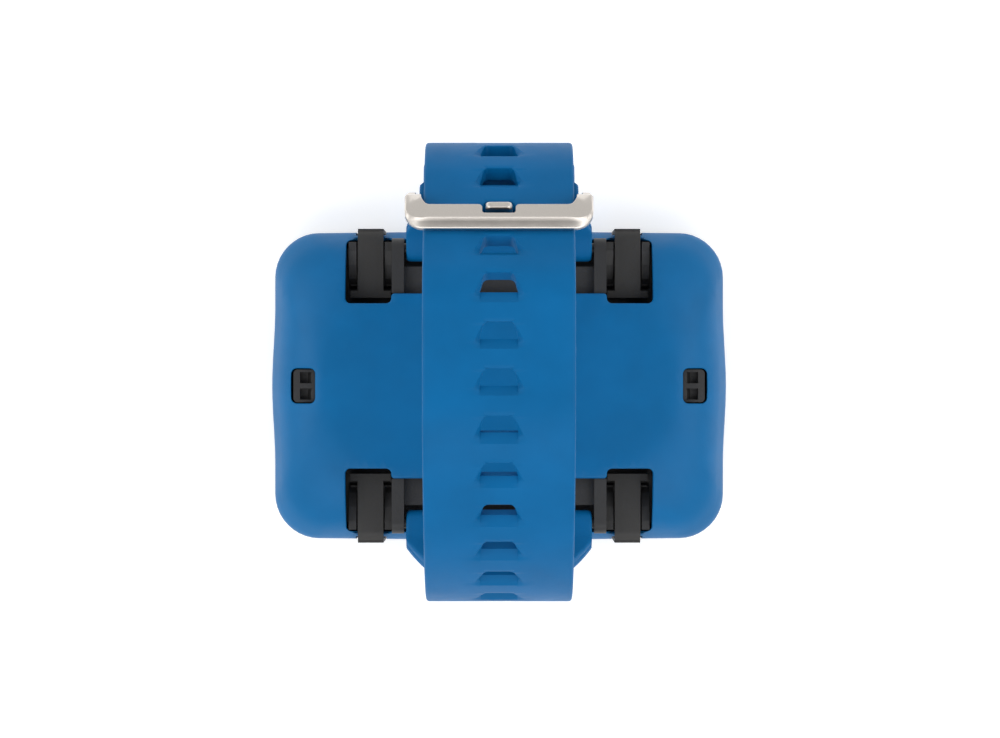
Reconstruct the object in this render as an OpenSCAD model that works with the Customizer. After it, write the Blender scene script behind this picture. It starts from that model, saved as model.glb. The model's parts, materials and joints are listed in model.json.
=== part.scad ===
// Wrist dive computer, lying face down with its strap buckled into a loop above the back.
// Origin: centre of the case on the plane that the front rim lies on.
// +X along the case, +Y towards the buckle side, +Z out of the back towards the wrist. Millimetres.

/* [Case] */
// Length of the case along X
case_l = 97.5; // [92:0.5:104]
// Width of the case along Y
case_w = 66; // [64:0.5:70]
// Height of the case from the front rim to the back plateau
case_h = 26; // [25:0.5:29]
// Corner radius of the case outline
case_r = 9.6; // [8:0.2:11]
// Wall of the coloured rear cover
cover_t = 1.8; // [1.4:0.1:2]
// Wall of the black pressure housing
housing_t = 2.25; // [1.8:0.05:2.6]

/* [Display] */
// Length of the window glass along X
window_l = 66; // [56:1:68]
// Width of the window glass along Y
window_w = 43; // [38:1:44]
// Offset of the window from the case centre along Y
window_y = -3.5; // [-4:0.1:-3]

/* [Buttons] */
// Spacing of the three buttons along X
button_pitch = 24; // [20:0.5:26]
// Length of a button cap
button_l = 15; // [12:0.5:16]
// Width of a button cap
button_w = 4.6; // [4:0.1:5]
// Travel of a button
button_travel = 1.2; // [0.8:0.1:1.3]

/* [Strap] */
// Width of the strap
strap_w = 30; // [26:0.5:30]
// Width of the strap heads between the lugs
head_w = 40; // [36:0.5:40]
// Thickness of the strap
strap_t = 3.3; // [2.8:0.1:3.5]
// Distance of each strap bar from the case centre along Y
bar_y = 29.3; // [29:0.1:29.6]
// Height of the strap bars
bar_z = 22; // [21.8:0.1:22.2]
// Diameter of a strap bar
bar_d = 2.4; // [2:0.1:2.6]
// Distance between strap holes
hole_pitch = 9.1; // [8:0.1:10]

/* [Buckle] */
// Width of the buckle over its arms
buckle_w = 37.4; // [36.5:0.1:40]
// Thickness of the buckle's front bar
buckle_t = 2.2; // [1.8:0.1:2.4]
// Width of the tongue
tongue_w = 5.4; // [3.5:0.1:5.5]

/* [Guard tabs] */
// Distance of the guard tabs from the case centre along X
tab_x = 27.6; // [27:0.1:28]
// Width of a tab's stem
tab_w = 5.5; // [4.5:0.1:5.8]
// Width of the T-shaped end of a tab
tee_w = 8.7; // [7.5:0.1:8.8]

/* [Hidden] */
$fn = 48;

blue = [0.03, 0.42, 0.68];
dark_blue = [0.02, 0.34, 0.56];
black = [0.17, 0.17, 0.18];
grey = [0.26, 0.26, 0.27];
steel = [0.72, 0.71, 0.69];
fit = 0.05;                      // radial clearance of a running fit
gap = 0.3;                       // clearance between moving pieces
eps = 0.01;
corner_steps = 8;                // straight pieces in each corner of the pillow form

// Case levels: height, then how far the outline has drawn in from the case's length and width
rim_z = 3.2;                     // lower edge of the rear cover
case_levels = [
    [rim_z, 0.4, 0.4, 0], [rim_z + 3, 0, 0, 0], [case_h - 11.5, 0, 0, 0],
    [case_h - 8, 1.1, 1.3, 0.6], [case_h - 4.4, 3.2, 4.2, 1.6], [case_h - 1.6, 6.6, 9, 3],
    [case_h, 11, 14, 4.4]
];

// Front stack
guard_t = 1.2;                   // front of the guard over the bezel
skirt_z = 3;                     // back edge of the guard's skirt
skirt_inset = 0.4;               // guard outline inside the case outline
bezel_z = 8;                     // joint plane between bezel and housing
bezel_inset = 2.35;              // bezel outline inside the case outline
bezel_r = case_r - 0.9;
guard_lip = 4.8;                 // width of the guard's front face
glass_z = [1.8, 4.4];
gasket_t = 0.6;
view_margin = 2;                 // how much of the glass the bezel ledge hides
plate_t = 1.6;
sensor_x = 31.4;                 // pressure sensor and its port in the housing
board_z = [13, 14];
battery_l = 46;
battery_w = 29;
battery_z = [14.6, 20.4];
core_y = 15.2;                   // half width of the tall part of the inside
low_z = 14.4;                    // roof of the inside under the strap pockets
floor_z = 16;                    // floor of the strap pockets
screw_at = [case_l / 2 - 8, case_w / 2 - 8];

// Buttons
button_y = 25.5;
button_names = ["left", "centre", "right"];
flange_z = [3.3, 4];
stem_r = 1.2;
stem_end = 10.9;
clip_z = [9.95, 10.45];
groove_r = 0.85;
flange_margin = 0.9;             // flange beyond the cap on every side
pocket_margin = 1.2;             // bezel pocket beyond the cap on every side
spring_r = 2;
wire_d = 0.4;
spring_turns = 3.5;

// Strap pockets in the cover
pocket_x = 32.8;
pocket_y = [19.7, 31.2];
notch_x = 22.95;                 // inner side of the corner notches
notch_y = 17.6;
catch_x = 41.6;
catch_l = 5.1;
catch_w = 7.5;
lug_x = [20.3, 22.9];
lug_sink = 0.8;                  // depth of the counterbore for a bar's head
bar_head_r = 1.7;
knuckle_r = 3.1;
lug_r = 2.3;

// Guard tabs
tab_hinge = [case_w / 2 - 0.5, 1.8];
tab_knuckle_r = 1.25;
tab_pin_r = 0.6;
tab_t = 1.1;
tab_top = 20;
tab_arm_t = 1.7;
tab_tip = 18.9;
tee_l = 1.5;
tee_z = 16.6;
tab_groove = 0.7;                // depth of the groove that a tab lies in

// Strap loop in the YZ plane. Headings are in degrees from +Y towards +Z.
strap_gap = 0.35;                // between the two layers
wide_y = -42.75;                 // centre line where the long strap stands upright
wide_z = 44.9;
short_y = 44.7;                  // the same for the short strap
short_z = 50.1;
turn_fit = strap_t + strap_gap;  // offset from the short strap's centre line to the long one's
slope = 40;                      // fall of the strap under the buckle
crown_legs = [[29, -29], [44, -23], [56, -18], [28, -20]];
knee_r = 10;                     // bend between the flat top and the fall
function side_r(dy, dz) = (dy * dy + dz * dz) / (2 * dy);
function side_turn(dy, dz) = 2 * atan(dy / dz);
long_dy = -wide_y - bar_y;
long_dz = wide_z - bar_z;
short_dy = short_y - bar_y;
short_dz = short_z - bar_z;
short_r = side_r(short_dy, short_dz);
shoulder_r = 20;
tail_turn = 37;
// The two straights are as long as it takes for the tail to lie on the short strap
crown_route = route([wide_y, wide_z], 90, crown_legs);
crown_end = crown_route[len(crown_route) - 1][0];
fall_l = (crown_end[1] - short_z - knee_r * (1 - cos(slope)) - shoulder_r * cos(slope)) / sin(slope);
top_l = short_y + turn_fit - crown_end[0] - knee_r * sin(slope) - fall_l * cos(slope)
    - shoulder_r * (1 - sin(slope));
// Each leg is [radius, turn] for an arc or [length, 0] for a straight
long_legs = concat(
    [[side_r(long_dy, long_dz), -side_turn(long_dy, long_dz)]], crown_legs,
    [[top_l, 0], [knee_r, -slope], [fall_l, 0], [shoulder_r, slope - 90], [short_r + turn_fit, -tail_turn]]
);
long_start = 90 + side_turn(long_dy, long_dz);
short_legs = [[short_r, side_turn(short_dy, short_dz)], [shoulder_r - turn_fit, 50]];
short_start = 90 - side_turn(short_dy, short_dz);
first_hole = 28.7;               // distance along the long strap to its first hole
holes = 15;
hole_narrow = 5.8;
hole_wide = 7.2;
hole_l = 3.4;
buckle_pin_at = [37.6, 61.9];
buckle_pin_r = 0.8;
strap_end_w = 32;
strap_end_r = 2.6;
arm_t = 2;
front_bar_at = [33.9, 76.5];
front_bar_l = 4.8;
front_bar_tilt = -25;
front_bevel_w = 1.9;             // bevel along the front bar's outer edge
front_bevel_d = 1.7;
arm_knee_l = 1.9;                // how far the arms reach past the front bar before they bend down
arm_eye_r = 2;
corner_w = 1.7;                  // thickening where an arm meets the front bar
notch_w = 6.6;
notch_depth = 1.9;               // notch in the front bar for the tongue's tip
tongue_t = 1.6;
tongue_r = 13;
tongue_start = 130;
tongue_turn = 68;
tongue_eye_r = 1.9;
keeper_l = 5;
keeper_t = 1.0;
keeper_gap = 0.4;
keeper_turn = -28.5;             // where the keeper sits around the short strap's lower arc

tongue_legs = [[tongue_r, -tongue_turn]];
tongue_room = 0.45;              // room around the tongue in its hole
tongue_swing = 4;                // how far the tongue can turn in its hole

function step_count(leg) = leg[1] == 0 ? 1 : ceil(abs(leg[1]) / 4);
function move(p, h, leg, part) = leg[1] == 0
    ? [p + leg[0] * part * [cos(h), sin(h)], h]
    : let (s = sign(leg[1]), h2 = h + leg[1] * part)
      [p + leg[0] * s * [sin(h2) - sin(h), cos(h) - cos(h2)], h2];
// Every point of a route with its heading: [[point, heading], ...]
function route(p, h, legs, i = 0) = i == len(legs) ? [] :
    let (n = step_count(legs[i]), last = move(p, h, legs[i], 1))
    concat([for (k = [1:n]) move(p, h, legs[i], k / n)], route(last[0], last[1], legs, i + 1));
function leg_length(leg) = leg[1] == 0 ? leg[0] : leg[0] * abs(leg[1]) * PI / 180;
// The place a given distance along a route
function along(p, h, legs, d, i = 0) = let (l = leg_length(legs[i]))
    d <= l || i == len(legs) - 1
        ? move(p, h, legs[i], d / l)
        : let (last = move(p, h, legs[i], 1)) along(last[0], last[1], legs, d - l, i + 1);
function side(place, off) = place[0] + off * [-sin(place[1]), cos(place[1])];
// Outline of a band of thickness t along a route
function band(places, t) = concat(
    [for (q = places) side(q, t / 2)],
    [for (i = [len(places) - 1:-1:0]) side(places[i], -t / 2)]
);

module rounded(l, w, r) {
    square([l - 2 * r, w], center = true);
    square([l, w - 2 * r], center = true);
    for (x = [-1, 1], y = [-1, 1]) translate([x * (l / 2 - r), y * (w / 2 - r)]) circle(r);
}

module slab(z, l, w, r) {
    translate([0, 0, z[0]]) linear_extrude(z[1] - z[0]) rounded(l, w, r);
}

// Extrude a shape drawn in (Y, Z) along X, from x0 to x1
module across(x0, x1) {
    translate([x0, 0, 0]) rotate([90, 0, 90]) linear_extrude(x1 - x0) children();
}

module rod(y, z, r, x0, x1) {
    translate([x0, y, z]) rotate([0, 90, 0]) cylinder(h = x1 - x0, r = r);
}

// Corner arc points of one case level, drawn in by inset on every side
function level_ring(v, inset) =
    let (r = case_r + v[3] - inset / 2, z = v[0] == rim_z ? rim_z : v[0] - inset)
    [for (q = [0:3], k = [0:corner_steps])
        let (a = q * 90 + k * 90 / corner_steps)
        [
            (case_l / 2 - v[1] - inset - r) * (q == 0 || q == 3 ? 1 : -1) + r * cos(a),
            (case_w / 2 - v[2] - inset - r) * (q < 2 ? 1 : -1) + r * sin(a),
            z
        ]];

// The pillow form of the case, drawn in by inset on every side
module pillow(inset) {
    n = 4 * (corner_steps + 1);
    top = len(case_levels) - 1;
    walls = [
        for (i = [0:top - 1], k = [0:n - 1])
        let (a = i * n + k, b = i * n + (k + 1) % n)
        each [[a, a + n, b], [b, a + n, b + n]]
    ];
    polyhedron(
        [for (v = case_levels) each level_ring(v, inset)],
        concat([[for (k = [0:n - 1]) k], [for (k = [n - 1:-1:0]) top * n + k]], walls)
    );
}

module each_corner() {
    for (x = [0, 1], y = [0, 1]) mirror([x, 0, 0]) mirror([0, y, 0]) children();
}

module each_button() {
    for (i = [-1:1]) translate([i * button_pitch, button_y, 0]) children();
}

module pill(z, l, w) {
    slab(z, l, w, w / 2 - eps);
}

// ---- Front ----
module front_guard() {
    color(black) difference() {
        slab([0, skirt_z], case_l - 2 * skirt_inset, case_w - 2 * skirt_inset, case_r - skirt_inset);
        slab([-1, guard_t + eps], case_l - 2 * guard_lip * 1.3, case_w - 2 * guard_lip, case_r - 3);
        slab([guard_t, skirt_z + 1], case_l - 2 * bezel_inset, case_w - 2 * bezel_inset, bezel_r);
        each_corner() translate([tab_x, case_w / 2, 0]) cube([tab_w + 2 * gap, 4.4, 10], center = true);
    }
    color(black) each_corner()
        rod(tab_hinge[0], tab_hinge[1], tab_pin_r, tab_x - tab_w / 2 - 1, tab_x + tab_w / 2 + 1);
}

module front_bezel() {
    color(grey) difference() {
        slab([guard_t, bezel_z], case_l - 2 * bezel_inset, case_w - 2 * bezel_inset, bezel_r);
        translate([0, window_y, 0]) {
            slab([0, glass_z[1] + gasket_t], window_l, window_w, 4);
            slab([0, bezel_z + 1], window_l - 2 * view_margin, window_w - 2 * view_margin, 3);
        }
        each_button() {
            pill([0, bezel_z], button_l + 2 * gap, button_w + 2 * gap);
            pill([flange_z[0] - gap, bezel_z + 1], button_l + 2 * pocket_margin, button_w + 2 * pocket_margin);
        }
        seal_ring(1);
        each_corner() translate([screw_at[0], screw_at[1], rim_z]) cylinder(h = bezel_z, r = 0.9);
        contact_places() translate([0, 0, -1]) cylinder(h = bezel_z + 3, r = 0.8);
        for (x = [-1, 1]) translate([x * (button_pitch + 7.9), button_y, 5]) cylinder(h = 5, r = 0.7);
    }
}

// Groove of the housing seal, or the seal itself
module seal_ring(lift) {
    difference() {
        slab([bezel_z - 0.7, bezel_z + lift], case_l - 8, case_w - 6.2, case_r - 3.1);
        slab([bezel_z - 1, bezel_z + lift + 1], case_l - 10, case_w - 7.4, case_r - 3.7);
    }
}

module display_window() {
    color([0.05, 0.06, 0.07]) translate([0, window_y, 0]) slab(glass_z, window_l - 0.2, window_w - 0.2, 3.9);
}

module window_gasket() {
    color(black) translate([0, window_y, 0]) difference() {
        slab([glass_z[1], glass_z[1] + gasket_t], window_l - 0.2, window_w - 0.2, 3.9);
        slab([0, bezel_z], window_l - 2 * view_margin, window_w - 2 * view_margin, 3);
    }
}

// Plate that closes the button pockets and guides the stems
module button_plate() {
    color(grey) difference() {
        translate([0, button_y - 1.2, 0]) slab([bezel_z, bezel_z + plate_t], 2 * button_pitch + 19, 9, 2);
        each_button() {
            cylinder(h = board_z[0], r = stem_r + fit);
            translate([0, 0, bezel_z + plate_t - 0.8]) cylinder(h = 2, r = 2.05);
        }
        for (x = [-1, 1]) translate([x * (button_pitch + 7.9), button_y, 5]) cylinder(h = 8, r = 0.7);
    }
}

module button_seals() {
    color(black) each_button() translate([0, 0, bezel_z + plate_t - 0.4])
        rotate_extrude() translate([stem_r + 0.45, 0]) circle(0.38, $fn = 24);
}

module housing_seal() {
    color("firebrick") seal_ring(0);
}

module contact_places() {
    for (i = [-1:1]) translate([i * 4, 1.4 - case_w / 2 + guard_lip, 0]) children();
}

module data_contacts() {
    color("gold") contact_places() {
        translate([0, 0, guard_t + 0.1]) cylinder(h = bezel_z, r = 0.78);
        translate([0, 0, bezel_z]) cylinder(h = 1.6, r = 1.3);
    }
}

module button(i) {
    color(steel) translate([i * button_pitch, button_y, 0]) difference() {
        union() {
            pill([0.6, flange_z[1]], button_l, button_w);
            pill(flange_z, button_l + 2 * flange_margin, button_w + 2 * flange_margin);
            translate([0, 0, flange_z[1] - eps]) cylinder(h = stem_end - flange_z[1] + eps, r = stem_r);
        }
        translate([0, 0, clip_z[0] - 0.02]) difference() {
            cylinder(h = clip_z[1] - clip_z[0] + 0.04, r = stem_r + 1);
            translate([0, 0, -1]) cylinder(h = 3, r = groove_r);
        }
    }
}

// Round wire wound between the flange and the plate
module button_spring(i) {
    sides = 6;
    rings = 12 * spring_turns;
    z0 = flange_z[1] + wire_d / 2 + 0.02;
    rise = (bezel_z - 0.02 - wire_d / 2 - z0) / spring_turns;
    points = [
        for (k = [0:rings], s = [0:sides - 1])
        let (a = k * 30, b = s * 360 / sides, rr = spring_r + wire_d / 2 * cos(b))
        [rr * cos(a), rr * sin(a), z0 + rise * a / 360 + wire_d / 2 * sin(b)]
    ];
    faces = concat(
        [[for (s = [0:sides - 1]) s], [for (s = [sides - 1:-1:0]) rings * sides + s]],
        [for (k = [0:rings - 1], s = [0:sides - 1]) let (t = (s + 1) % sides)
            [k * sides + s, (k + 1) * sides + s, (k + 1) * sides + t, k * sides + t]]
    );
    color(steel) translate([i * button_pitch, button_y, 0]) polyhedron(points, faces);
}

module button_clip(i) {
    color(steel) translate([i * button_pitch, button_y, clip_z[0]]) difference() {
        cylinder(h = clip_z[1] - clip_z[0], r = 2.2);
        translate([0, 0, -1]) cylinder(h = 3, r = groove_r + 0.02);
        translate([0, -1.5, 0]) cube([1.4, 3, 3], center = true);
    }
}

// ---- Inside ----
module display_module() {
    color([0.1, 0.1, 0.12]) translate([0, window_y, 0]) {
        slab([glass_z[1] + 0.7, bezel_z - 0.2], window_l - 6, window_w - 5.5, 1);
        translate([0, 0, bezel_z - 0.9]) slab([0, 0.6], 20, 10, 1);
    }
}

module inner_chassis() {
    color([0.75, 0.75, 0.77]) {
        difference() {
            translate([0, window_y, 0]) slab([bezel_z, bezel_z + 0.9], 76, 44, 3);
            translate([0, window_y, 0]) slab([0, 20], 40, 24, 2);
        }
        for (x = [-1, 1], y = [-1, 1]) translate([x * 34, window_y + y * 18, bezel_z])
            cylinder(h = board_z[0] - bezel_z, r = 1.6);
    }
}

module antenna_coil() {
    color("peru") translate([0, window_y, bezel_z + 1.4]) difference() {
        slab([0, 1.6], 62, 32, 4);
        slab([-1, 3], 58, 28, 3);
    }
    color("peru") for (x = [-1, 1]) translate([x * 30, window_y, bezel_z + 1.2])
        cube([1.6, 4, 0.58], center = true);
}

module circuit_board() {
    color("darkgreen") {
        translate([0, 1.6, 0]) slab(board_z, 73, 50.2, 3);
        each_button() translate([0, 0, board_z[0] - 0.6]) cylinder(h = 0.6, r = 1.8);
        for (x = [-25, -12, 8]) translate([x, -8, board_z[0] - 1.2]) cube([8, 8, 1.2]);
    }
}

module battery_pad() {
    color("gray") slab([board_z[1], battery_z[0]], battery_l - 4, battery_w - 4, 2);
}

module battery_cell() {
    color("silver") slab(battery_z, battery_l, battery_w, 1.5);
}

module pressure_sensor() {
    color(steel) translate([sensor_x, 0, 0]) {
        translate([0, 0, board_z[1]]) cylinder(h = 3.2, r = 4.5);
        translate([0, 0, board_z[1] + 3]) cylinder(h = 5, r = 3.2);
    }
}

module sensor_cap() {
    color(black) translate([sensor_x, 0, 0]) difference() {
        translate([0, 0, board_z[1] + 8.1]) cylinder(h = 1, r = 3.2);
        for (a = [0:60:359]) rotate(a) translate([1.7, 0, board_z[1]]) cylinder(h = 20, r = 0.5);
    }
}

module sounder() {
    color("gold") translate([-32, 0, board_z[1]]) {
        cylinder(h = 2.4, r = 6.5);
        cylinder(h = 3, r = 3);
    }
}

// ---- Rear housing and its cover ----
// Outline of the openings on the buckle side of the cover, grown by m on every side
module pocket_outline(m) {
    for (s = [-1, 1]) translate([s * (pocket_x + notch_x) / 2, (pocket_y[1] + notch_y) / 2])
        rounded(pocket_x - notch_x + 2 * m, pocket_y[1] - notch_y + 2 * m, 1.2 + m);
    translate([0, (pocket_y[1] + pocket_y[0]) / 2])
        square([2 * notch_x + 4, pocket_y[1] - pocket_y[0] + 2 * m], center = true);
}

module both_sides() {
    for (y = [0, 1]) mirror([0, y, 0]) children();
}

module housing_inside() {
    difference() {
        intersection() {
            pillow(cover_t + 0.15 + housing_t);
            translate([0, 0, bezel_z - 1]) slab([0, 30], case_l, case_w, case_r);
        }
        both_sides() translate([-35, core_y, low_z]) cube([70, 30, 20]);
        each_corner() translate([screw_at[0], screw_at[1], 0]) cylinder(h = 30, r = 3.4);
    }
}

// One black ear of the lugs, drawn in (Y, Z)
module lug_side() {
    difference() {
        union() {
            translate([bar_y, bar_z]) circle(lug_r);
            polygon([
                [pocket_y[0] - 1, floor_z - 1], [pocket_y[0] - 1, bar_z + 0.3],
                [pocket_y[0] + 0.1, bar_z + 0.3], [pocket_y[0] + 0.1, bar_z + lug_r + 0.4],
                [bar_y, bar_z + lug_r], [bar_y + lug_r, bar_z], [bar_y + lug_r - 0.6, floor_z - 1]
            ]);
        }
        translate([bar_y, bar_z]) circle(bar_d / 2 + 0.02);
    }
}

// Raised bed beside a guard tab, drawn in (Y, Z), which stays under the swing of the tab's T-shaped end
module tab_bed() {
    polygon([
        [21, floor_z - 1], [21, 16.3], [23, 17.7], [26, 19.1], [29, 19.9], [30.9, 20], [30.9, floor_z - 1]
    ]);
}

// Black catch that fills the small window at each end of the cover
module cover_catch() {
    difference() {
        translate([catch_x, 0, 0]) slab([case_h - 8, case_h - 2.1], catch_l - 0.5, catch_w - 0.5, 0.9);
        for (y = [-1, 1]) translate([catch_x - 0.4, y * 1.75, case_h - 2.6]) cube([2.6, 2.4, 3], center = true);
    }
}

module rear_housing() {
    color(black) difference() {
        union() {
            difference() {
                intersection() {
                    pillow(cover_t + 0.15);
                    translate([0, 0, bezel_z]) slab([0, 30], case_l, case_w, case_r);
                }
                both_sides() translate([0, 0, floor_z]) linear_extrude(30) {
                    pocket_outline(0.2);
                    translate([0, case_w / 2]) square([2 * pocket_x + 0.4, 8], center = true);
                }
            }
            each_corner() {
                across(lug_x[0], lug_x[1]) lug_side();
                across(lug_x[1] - 0.5, tab_x - tab_w / 2 - gap) tab_bed();
                across(tab_x + tab_w / 2 + gap, pocket_x - 0.5) tab_bed();
                translate([tab_x - tee_w / 2, 21.5, floor_z - 1]) cube([tee_w, 1.4, 1.9]);
            }
            both_sides() translate([-lug_x[0] - 1, pocket_y[0] - 1, floor_z - 1])
                cube([2 * lug_x[0] + 2, 6.8, 7.4]);
            for (x = [0, 1]) mirror([x, 0, 0]) cover_catch();
        }
        housing_inside();
        both_sides() {
            rod(bar_y, bar_z, knuckle_r + 0.4, -lug_x[0], lug_x[0]);
            rod(bar_y, bar_z, bar_d / 2 + 0.02, -lug_x[1] - 1, lug_x[1] + 1);
            for (x = [0, 1]) mirror([x, 0, 0])
                rod(bar_y, bar_z, bar_head_r + 0.05, lug_x[1] - lug_sink, lug_x[1] + 1);
        }
        each_corner() translate([screw_at[0], screw_at[1], 0]) {
            cylinder(h = 20, r = 1);
            translate([0, 0, 12]) cylinder(h = 20, r = 2.1);
        }
        translate([sensor_x, 0, 0]) cylinder(h = 40, r = 3.22);
    }
}

module rear_cover() {
    color(blue) difference() {
        pillow(0);
        pillow(cover_t);
        translate([0, 0, rim_z - 1]) slab([0, 1 + eps], case_l - 2 * cover_t - 0.8,
            case_w - 2 * cover_t - 0.8, case_r - cover_t);
        both_sides() translate([0, 0, bezel_z + 4]) linear_extrude(30) pocket_outline(0);
        each_corner() translate([tab_x, case_w / 2, 0]) {
            cube([tab_w + 1, 2 * tab_groove, 80], center = true);
            translate([-tab_w / 2 - 0.5, -2, tab_top - tab_arm_t - 0.8]) cube([tab_w + 1, 4, 20]);
        }
        for (x = [-1, 1]) translate([x * catch_x, 0, bezel_z + 4]) slab([0, 30], catch_l, catch_w, 1.2);
    }
}

module housing_screws() {
    color(steel) each_corner() translate([screw_at[0], screw_at[1], 0]) difference() {
        union() {
            translate([0, 0, rim_z + 0.8]) cylinder(h = 8.5, r = 0.88);
            translate([0, 0, 12]) cylinder(h = 1.6, r = 1.8);
        }
        translate([0, 0, 13]) cylinder(h = 2, r = 0.8, $fn = 6);
    }
}

// ---- Guard tabs ----
module guard_tab() {
    y = tab_hinge[0];
    x0 = tab_x - tab_w / 2;
    x1 = tab_x + tab_w / 2;
    outer = y + tab_knuckle_r;
    color(black) difference() {
        union() {
            rod(y, tab_hinge[1], tab_knuckle_r, x0, x1);
            translate([x0, outer - tab_t, tab_hinge[1]]) cube([tab_w, tab_t, tab_top - 1 - tab_hinge[1]]);
            across(x0, x1) difference() {
                translate([outer - 2.4, tab_top - 2.4]) circle(2.4);
                translate([outer - 2.4, tab_top - 2.4]) circle(2.4 - tab_t - 0.2);
                translate([outer - 12.4, tab_top - 12.4]) square(10);
                translate([outer - 12.4, tab_top - 5]) square([10, 5]);
                translate([outer - 5, tab_top - 12.4]) square([5, 10]);
            }
            translate([x0, tab_tip, tab_top - tab_arm_t]) cube([tab_w, outer - 2.3 - tab_tip, tab_arm_t]);
            translate([tab_x - tee_w / 2, tab_tip, tee_z]) cube([tee_w, tee_l, tab_top - tee_z]);
        }
        rod(y, tab_hinge[1], tab_pin_r + fit, x0 - 1, x1 + 1);
    }
}

// ---- Strap bars ----
module strap_bar() {
    seat = lug_x[1] - lug_sink;
    color(grey) difference() {
        union() {
            rod(bar_y, bar_z, bar_d / 2, -seat - 0.1, seat - 0.1);
            rod(bar_y, bar_z, bar_head_r, -lug_x[1], -seat);
        }
        rod(bar_y, bar_z, 0.7, seat - 5, seat + 1);
    }
}

module bar_screws() {
    seat = lug_x[1] - lug_sink;
    color(grey) both_sides() difference() {
        union() {
            rod(bar_y, bar_z, 0.68, seat - 4, seat + 0.1);
            rod(bar_y, bar_z, bar_head_r, seat, lug_x[1]);
        }
        translate([lug_x[1], bar_y, bar_z]) cube([0.8, 5, 0.6], center = true);
    }
}

// ---- Straps ----
// Strap with its knuckle, at the full width of the head
module head_band(places) {
    difference() {
        union() {
            across(-head_w / 2, head_w / 2) polygon(band(places, strap_t));
            rod(places[0][0][0], bar_z, knuckle_r, -head_w / 2, head_w / 2);
        }
        rod(places[0][0][0], bar_z, bar_d / 2 + fit, -head_w, head_w);
    }
}

short_places = concat(
    [[[bar_y, bar_z], short_start]], route([bar_y, bar_z], short_start, short_legs)
);
tongue_places = concat(
    [[buckle_pin_at, tongue_start]], route(buckle_pin_at, tongue_start, tongue_legs)
);
long_places = concat(
    [[[-bar_y, bar_z], long_start]], route([-bar_y, bar_z], long_start, long_legs)
);

// Limit of the strap's front view: the strap's own width, and low down on the head's side its head
module head_limit(head_side) {
    low = bar_z + 3.2;
    flare = 5;
    w = strap_w / 2;
    h = head_w / 2;
    translate([-w, -case_w, 0]) cube([strap_w, 2 * case_w, 2 * case_w]);
    translate([0, head_side * case_w / 2, 0]) rotate([90, 0, 0]) linear_extrude(case_w, center = true)
        polygon([[-h, 0], [h, 0], [h, low], [w, low + flare], [-w, low + flare], [-h, low]]);
}

// Put a shape at a place on a route: local +Y along it and local +Z outwards
module at_place(q) {
    translate([0, q[0][0], q[0][1]]) rotate([q[1], 0, 0]) children();
}

module strap_long() {
    color(blue) difference() {
        intersection() {
            head_band(long_places);
            head_limit(-1);
        }
        for (i = [0:holes - 1])
            at_place(along([-bar_y, bar_z], long_start, long_legs, first_hole + i * hole_pitch))
                translate([0, 0, -strap_t]) linear_extrude(2 * strap_t) polygon([
                    [-hole_wide / 2, -hole_l / 2], [hole_wide / 2, -hole_l / 2],
                    [hole_narrow / 2, hole_l / 2], [-hole_narrow / 2, hole_l / 2]
                ]);
        for (a = [0, -tongue_swing]) across(-tongue_w / 2 - tongue_room, tongue_w / 2 + tongue_room)
            translate(buckle_pin_at) rotate(a) translate(-buckle_pin_at)
                polygon(band(tongue_places, tongue_t + 2 * tongue_room));
    }
}

module strap_short() {
    slot_w = tongue_w + 1;
    color(blue) difference() {
        union() {
            intersection() {
                head_band(short_places);
                head_limit(1);
            }
            rod(buckle_pin_at[0], buckle_pin_at[1], strap_end_r, -strap_end_w / 2, strap_end_w / 2);
        }
        rod(buckle_pin_at[0], buckle_pin_at[1], buckle_pin_r + 0.02, -strap_w, strap_w);
        translate([-slot_w / 2, buckle_pin_at[0] - 10, buckle_pin_at[1] - 3.2]) cube([slot_w, 13.2, 20]);
    }
}

// ---- Buckle ----
module buckle_pin() {
    end = buckle_w / 2 + 0.3;
    color(steel) rod(buckle_pin_at[0], buckle_pin_at[1], buckle_pin_r, -end, end);
}

function on_bar(along_bar, off) = front_bar_at
    + along_bar * [cos(front_bar_tilt), sin(front_bar_tilt)]
    + off * [-sin(front_bar_tilt), cos(front_bar_tilt)];

module front_bar_side() {
    l = front_bar_l / 2;
    t = buckle_t / 2;
    polygon([
        on_bar(-l, -t), on_bar(l, -t), on_bar(l, t),
        on_bar(-l + front_bevel_w, t), on_bar(-l, t - front_bevel_d)
    ]);
}

module arm_side() {
    l = front_bar_l / 2;
    t = buckle_t / 2;
    polygon([
        on_bar(l - 1, -t), on_bar(l - 1, t), on_bar(l + arm_knee_l, t), on_bar(l + 3, t - 0.8),
        buckle_pin_at + [arm_eye_r, 1], buckle_pin_at + [arm_eye_r, 0], buckle_pin_at - [arm_eye_r, 0]
    ]);
    translate(buckle_pin_at) circle(arm_eye_r);
}

module buckle_frame() {
    half = buckle_w / 2;
    knee = front_bar_l / 2 + arm_knee_l;
    t = buckle_t / 2;
    color(steel) difference() {
        intersection() {
            union() {
                across(-half, half) front_bar_side();
                for (x = [0, 1]) mirror([x, 0, 0]) {
                    across(half - arm_t, half) arm_side();
                    across(half - arm_t - corner_w, half)
                        polygon([on_bar(0, -t), on_bar(0, t), on_bar(knee, t), on_bar(knee, -t)]);
                }
            }
            translate([0, front_bar_at[0] + 7.7, 0]) linear_extrude(100) rounded(buckle_w, 20, 3);
        }
        translate([-notch_w / 2, on_bar(front_bar_l / 2, 0)[0] - notch_depth, 60]) cube([notch_w, 10, 30]);
        rod(buckle_pin_at[0], buckle_pin_at[1], buckle_pin_r + fit, -buckle_w, buckle_w);
    }
}

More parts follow.
